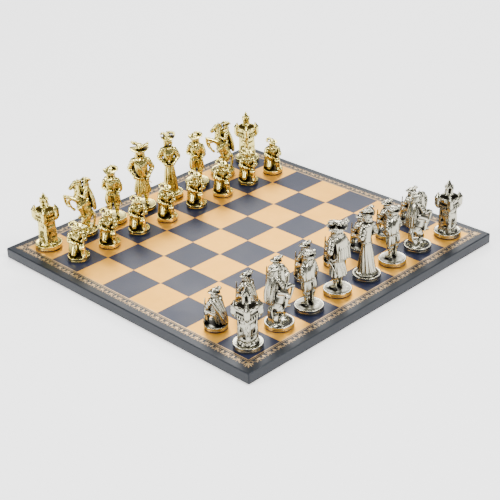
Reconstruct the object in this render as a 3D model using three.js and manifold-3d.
// A figured chess set: thirty-two plated metal chessmen, each on a felt pad, standing on a flat
// board that is a panel covered in printed leatherette, with felt underneath.
//
// Frame: +Z up, origin in the middle of the board's underside. +X runs from the a-file to the
// h-file and +Y from the first rank to the eighth, so gold stands at -Y and silver at +Y.
import * as THREE from 'three';
import { ConvexGeometry } from 'three/addons/geometries/ConvexGeometry.js';
import { mergeVertices } from 'three/addons/utils/BufferGeometryUtils.js';
import Module from 'manifold-3d';

const wasm = await Module();
wasm.setup();

// ---- Driving dimensions, in millimetres ----
const FILES = 'abcdefgh';
const SQUARE = 39.7; // one square of the playing field
const BORDER = 16.2; // from the field to the board's edge
const CORE_THICKNESS = 9.1;
const COVER_THICKNESS = 1.0; // leatherette, on top and down the four sides
const BASE_FELT_THICKNESS = 1.0;
const BASE_FELT_INSET = 2.5; // the felt stops short of the board's edge
const SEAM = 0.3; // slit where two folded sides of the cover meet
const GLUE = 0.3; // glue line between two layers
const STAND_GAP = 0.3; // clearance under a standing man
const PAD_THICKNESS = 0.8;
const PAD_INSET = 0.6; // a pad is this much smaller than its base, all round
const TURN = { gold: -38, silver: 0 }; // degrees that a side's figures are turned from straight ahead

// Each man's size: overall height from the pad's underside, and the round base it stands on.
const SIZES = {
  king: { height: 78, base: 13.8, rim: 5.3 },
  queen: { height: 76, base: 13.8, rim: 5.3 },
  bishop: { height: 63, base: 13.8, rim: 5.3 },
  knight: { height: 64, base: 13.8, rim: 5.3 },
  rook: { height: 61, base: 13.8, rim: 5.3 },
  pawn: { height: 43, base: 11.4, rim: 4.8 },
};
const RIM_CHAMFER = 0.8;
const SINK = 0.4; // how far a figure's foot goes into its base, so that the two are one casting
const BASE_SIDES = 16; // facets round a base and its pad
const RING_SIDES = 6; // facets round a body, a hat or a turret

const FIELD = 8 * SQUARE;
const BOARD = FIELD + 2 * BORDER;
const CORE_BOTTOM = BASE_FELT_THICKNESS + GLUE;
const CORE_TOP = CORE_BOTTOM + CORE_THICKNESS;
const BOARD_TOP = CORE_TOP + GLUE + COVER_THICKNESS;

// ---- Solids ----
// A closed geometry as a manifold-3d solid.
function solid(geometry) {
  const bare = new THREE.BufferGeometry();
  bare.setAttribute('position', geometry.getAttribute('position'));
  bare.setIndex(geometry.index);
  const merged = mergeVertices(bare, 1e-4);
  const vertProperties = merged.attributes.position.array;
  const triVerts = new Uint32Array(merged.index.array);
  return new wasm.Manifold(new wasm.Mesh({ numProp: 3, vertProperties, triVerts }));
}

// A solid as a geometry for a mesh.
function geometryOf(body) {
  const { vertProperties, triVerts } = body.getMesh();
  const geometry = new THREE.BufferGeometry();
  geometry.setAttribute('position', new THREE.BufferAttribute(new Float32Array(vertProperties), 3));
  geometry.setIndex(new THREE.BufferAttribute(new Uint32Array(triVerts), 1));
  return geometry;
}

const fuse = (bodies) => bodies.reduce((whole, next) => whole.add(next));

function box(sizeX, sizeY, sizeZ, lowZ) {
  return solid(new THREE.BoxGeometry(sizeX, sizeY, sizeZ).translate(0, 0, lowZ + sizeZ / 2));
}

// A solid of revolution about Z from [radius, height] points that start and end on the axis.
function turned(profile) {
  const points = profile.map(([r, z]) => new THREE.Vector2(r, z));
  return solid(new THREE.LatheGeometry(points, BASE_SIDES).rotateX(Math.PI / 2));
}

// Points of an ellipse at one height.
function ring([x, y, z, rx, ry], sides = RING_SIDES) {
  return Array.from({ length: sides }, (_, i) => {
    const a = (2 * Math.PI * (i + 0.5)) / sides;
    return new THREE.Vector3(x + rx * Math.cos(a), y + ry * Math.sin(a), z);
  });
}

// Points of a small ball, as an octahedron.
function ball([x, y, z, r]) {
  const corners = new THREE.OctahedronGeometry(r).getAttribute('position');
  return Array.from({ length: corners.count }, (_, i) =>
    new THREE.Vector3().fromBufferAttribute(corners, i).add(new THREE.Vector3(x, y, z)));
}

const hull = (...sets) => solid(new ConvexGeometry(sets.flat()));

// A stretch of body between rings, and a limb between balls: each pair of neighbours is one hull.
// A lump is a single hull over all its balls.
const trunk = (...rings) => fuse(rings.slice(1).map((next, i) => hull(ring(rings[i]), ring(next))));
const limb = (...balls) => fuse(balls.slice(1).map((next, i) => hull(ball(balls[i]), ball(next))));
const lump = (...balls) => hull(...balls.map(ball));
const head = (x, y, z, r) => lump([x, y, z - 1.7 * r, r * 0.6], [x, y, z, r * 1.15]);
const flip = ([x, ...rest]) => [-x, ...rest];
const pair = (shape, ...balls) => [shape(...balls), shape(...balls.map(flip))];

// ---- The board ----
function cover() {
  const skirt = BOARD_TOP - CORE_BOTTOM;
  const inside = BOARD - 2 * COVER_THICKNESS;
  const shell = box(BOARD, BOARD, skirt, CORE_BOTTOM)
    .subtract(box(inside, inside, skirt - COVER_THICKNESS + 1, CORE_BOTTOM - 1));
  const slit = new THREE.BoxGeometry(4 * COVER_THICKNESS, SEAM, 2 * (skirt - COVER_THICKNESS));
  return [45, 135, 225, 315].reduce((body, degrees) => {
    const corner = slit.clone().translate(BOARD / Math.SQRT2, 0, CORE_BOTTOM);
    return body.subtract(solid(corner.rotateZ(THREE.MathUtils.degToRad(degrees))));
  }, shell);
}

function core() {
  const side = BOARD - 2 * (COVER_THICKNESS + GLUE);
  return box(side, side, CORE_THICKNESS, CORE_BOTTOM);
}

function baseFelt() {
  const side = BOARD - 2 * BASE_FELT_INSET;
  return box(side, side, BASE_FELT_THICKNESS, 0);
}

// ---- The figures ----
// Each is laid out in hundredths of its own height above its base, facing +Y, with its feet at 0.
function king() {
  return [
    ...pair(lump, [5, 5, 2, 2.6], [4.6, -1.5, 2.6, 3], [4.4, -0.5, 24, 4.6]), // boots
    trunk([0, 0, 20, 12, 9.6], [0, 0, 46, 7.4, 6], [0, 0.4, 66, 9.6, 6.8], [0, 0, 76, 7, 4.4]), // coat
    ...pair(limb, [10.5, 0, 71, 4.6], [16, -3, 57, 4], [8.5, 7, 49, 3]), // arms
    hull(ring([0, -6, 73, 9, 2]), ring([0, -10, 24, 10, 2])), // cape
    limb([-8, 5, 51, 1.8], [-14, -12, 30, 1.6]), // sword
    head(0, 1, 82, 5.6),
    hull(ring([0, 0.5, 87, 14.4, 13]), ring([0, 0, 94.5, 7.4, 7.4])), // hat
    lump([-2, -7, 92, 3], [-10, -9, 95.8, 4.2], [-14, -8, 92, 2.6]), // plume
  ];
}

function queen() {
  return [
    trunk([0, 0, -0.5, 15, 14.4], [0, 0, 6, 11.8, 11.2], [0, 0, 45, 8, 6.4],
      [0, 0.4, 64, 9, 6.6], [0, 0, 75, 7, 4.4]), // gown
    ...pair(limb, [9, 0, 71, 4.4], [14.4, -2, 54, 4.4], [3.4, 8, 45, 3]), // sleeves
    head(0, 0.6, 81.5, 5.4),
    hull(ring([0, 0, 87.6, 12, 11.4]), ring([0, 0, 95, 7, 7])), // hat
    lump([-3, -5, 93, 3], [-9, -7, 95.6, 4.4], [-12.6, -7, 90, 2.6]), // plume
  ];
}

function bishop() {
  return [
    ...pair(lump, [4.6, 5, 2, 2.4], [4.2, -1.5, 2.4, 2.6], [3.8, 0, 26, 3.6]), // boots
    trunk([0, 0, 24, 8.6, 6.6], [0, 0, 38, 11, 8.4], [0, 0, 50, 8.4, 6.4],
      [0, 0.4, 66, 11, 7.4], [0, 0, 76, 7.6, 4.4]), // breeches and jacket
    lump([10.4, 0, 70, 4.4], [13.6, -3, 56, 3.8], [3.4, 9, 51, 2.8]), // right arm
    lump([-10.4, 0, 70, 4.4], [-14, -2, 57, 3.8], [-9, 8, 49, 2.8]), // left arm
    limb([-9, 9, 50, 1.8], [-14, -9, 18, 1.6]), // sword
    hull(ring([0, -6, 72, 9, 2]), ring([2, -10, 40, 11, 2])), // cape
    head(0, 1, 82, 5.6),
    hull(ring([0, 0.5, 87, 12.6, 12]), ring([0, 0, 94.5, 7, 7])), // hat
    lump([-2, -5, 93, 3], [-8, -9, 95.6, 4.4], [-12, -10, 89, 2.6]), // plume
  ];
}

// The knight's horse rears towards +X.
function knight() {
  return [
    hull(ring([-2, 0, -0.5, 18, 16]), ring([-3, 0, 6, 13, 11])), // ground
    lump([-5, 0, 34, 11], [9, 0, 60, 9.6]), // barrel
    limb([9, 0, 62, 8], [16, 0, 86, 6], [28, 0, 78, 4]), // neck and head
    limb([11, 4, 58, 5], [36, 5, 66, 3.4], [30, 5, 44, 2.6]), // forelegs
    limb([11, -4, 56, 5], [30, -5, 48, 3.4], [22, -5, 30, 2.6]),
    ...[7, -7].map((y) => lump([-4, y, 30, 7], [-10, y, 16, 4], [-3, y, 4, 4])), // hind legs
    lump([-11, 0, 34, 3.4], [-15, 0, 20, 4], [-13, 0, 4, 3.4]), // tail
    ...[1, -1].map((s) => lump([-1, 7 * s, 60, 5], [8, 11 * s, 50, 4], [4, 11 * s, 34, 3.4])), // boots
    hull(ring([-3, 0, 54, 6.6, 7]), ring([-3, 0, 80, 4.4, 8])), // rider
    lump([1, 12, 68, 3.4], [1, -12, 68, 3.4], [11, 0, 66, 3]), // the rider's arms
    hull(ring([-7, 0, 79, 2, 7]), ring([-13, 0, 44, 2.6, 10])), // cape
    head(-1, 0, 86, 4.8),
    hull(ring([-1.5, 0, 90.4, 9, 9.4]), ring([-2, 0, 96.5, 5, 5])), // hat
    lump([-5, 2, 94, 2.6], [-9, 4, 96.4, 3.6], [-13, 5, 91, 2.2]), // plume
  ];
}

// The rook is a castle: a square keep whose corners each carry a turret. A wall is square in plan,
// from [half its width, height] steps.
function rook() {
  const square = ([half, z]) => ring([0, 0, z, half * Math.SQRT2, half * Math.SQRT2], 4);
  const wall = (...steps) => fuse(steps.slice(1).map((next, i) => hull(square(steps[i]), square(next))));
  const corners = [[14.6, 14.6], [-14.6, 14.6], [14.6, -14.6], [-14.6, -14.6]];
  const turret = ([x, y]) =>
    trunk([x, y, 42, 3, 3], [x, y, 50, 5.4, 5.4], [x, y, 66, 5.4, 5.4], [x, y, 75, 1.6, 1.6]);
  return [
    trunk([0, 0, -0.5, 22, 22], [0, 0, 5, 17, 17]), // ground
    wall([14, 2], [12.8, 44], [16.4, 52], [16.4, 66]), // keep and battlements
    ...corners.map(turret),
    wall([15, 64], [7.5, 76]), // roof
    wall([7.5, 70], [7.5, 84], [0.6, 100]), // middle tower and spire
  ];
}

function pawn() {
  return [
    trunk([0, -4, -0.5, 21, 18], [0, -2, 42, 16, 12], [0, 0, 61, 15, 10], [0, 1, 69, 9, 6]), // cloak
    lump([-6, 4, 30, 9], [-11, 15, 34, 7], [-11, 15, 5, 7]), // raised knee
    lump([16, 2, 58, 6], [-16, 2, 58, 6], [6, 17, 45, 6], [-6, 17, 45, 6]), // folded arms
    lump([15, 18, 1, 3.4], [11, 17, 64, 3]), // musket
    head(0, 3, 75, 8),
    hull(ring([0, 2, 81, 16, 15]), ring([0, 1, 93, 9, 9])), // hat
    lump([-3, -4, 89, 5], [-10, -8, 94, 6], [-16, -9, 86, 4]), // plume
  ];
}

const FIGURES = { king, queen, bishop, knight, rook, pawn };

// One man: its figure on a round chamfered base, standing at the origin. On a pawn the pad is
// part of the solid, on the others the base starts above a pad of its own.
function man(kind) {
  const { height, base, rim } = SIZES[kind];
  const foot = kind === 'pawn' ? 0 : PAD_THICKNESS + GLUE;
  const unit = (height - rim) / 100;
  const edge = [[base, foot], [base, rim - RIM_CHAMFER], [base - RIM_CHAMFER, rim]];
  const disc = turned([[0, foot], ...edge, [0, rim]]);
  const figure = fuse(FIGURES[kind]()).scale([unit, unit, unit]).translate([0, 0, rim]);
  const above = box(4 * base, 4 * base, 2 * height, rim - SINK);
  return geometryOf(disc.add(figure.intersect(above)));
}

function pad(kind) {
  const radius = SIZES[kind].base - PAD_INSET;
  return new THREE.CylinderGeometry(radius, radius, PAD_THICKNESS, BASE_SIDES)
    .rotateX(Math.PI / 2)
    .translate(0, 0, PAD_THICKNESS / 2);
}

// ---- Materials ----
const paint = (color, roughness, metalness) =>
  new THREE.MeshStandardMaterial({ color, roughness, metalness });
const GOLD = paint(0xd9c06a, 0.2, 1);
const SILVER = paint(0xc9c8c0, 0.2, 1);
const LEATHERETTE = paint(0x2b3250, 0.45, 0);
const BOARD_PANEL = paint(0xa98259, 0.9, 0);
const FELT = paint(0x16181c, 1, 0);

// ---- The set ----
const chessSet = new THREE.Group();

function put(name, geometry, material, group = chessSet) {
  const mesh = new THREE.Mesh(geometry, material);
  mesh.name = name;
  group.add(mesh);
}

put('base_felt', geometryOf(baseFelt()), FELT);
put('core_panel', geometryOf(core()), BOARD_PANEL);
put('leatherette_cover', geometryOf(cover()), LEATHERETTE);

const BACK_RANK = ['rook', 'knight', 'bishop', 'queen', 'king', 'bishop', 'knight', 'rook'];
const shapes = Object.fromEntries(Object.keys(SIZES).map((kind) => [kind, man(kind)]));

// A king or a queen is alone of its kind, and every other man is named after its square too.
function nameOf(side, kind, square) {
  const alone = kind === 'king' || kind === 'queen';
  return alone ? `${side}_${kind}` : `${side}_${kind}_${square}`;
}

// How far a man is set outwards from the middle of its square, in squares.
const SET_OUT = { rook: 0.12, knight: 0.02, bishop: 0.02, queen: 0.03, king: 0, pawn: 0.03 };

function stand(side, kind, file, rank) {
  const spot = new THREE.Group();
  const middle = (n) => (n - 3.5) * SQUARE;
  const shift = SET_OUT[kind] * SQUARE;
  const x = middle(file) + Math.sign(middle(file)) * shift;
  const y = middle(rank) + Math.sign(middle(rank)) * (kind === 'pawn' ? 0 : shift);
  spot.position.set(x, y, BOARD_TOP + STAND_GAP);
  const facing = side === 'gold' ? 0 : 180;
  const turn = kind === 'rook' ? 0 : TURN[side];
  spot.rotation.z = THREE.MathUtils.degToRad(facing + turn);
  const name = nameOf(side, kind, FILES[file] + (rank + 1));
  const metal = side === 'gold' ? GOLD : SILVER;
  put(name, shapes[kind], metal, spot);
  if (kind !== 'pawn') put(`${name}_pad`, pad(kind), FELT, spot);
  chessSet.add(spot);
}

for (let file = 0; file < 8; file += 1) {
  stand('gold', BACK_RANK[file], file, 0);
  stand('gold', 'pawn', file, 1);
  stand('silver', 'pawn', file, 6);
  stand('silver', BACK_RANK[file], file, 7);
}

export default chessSet;
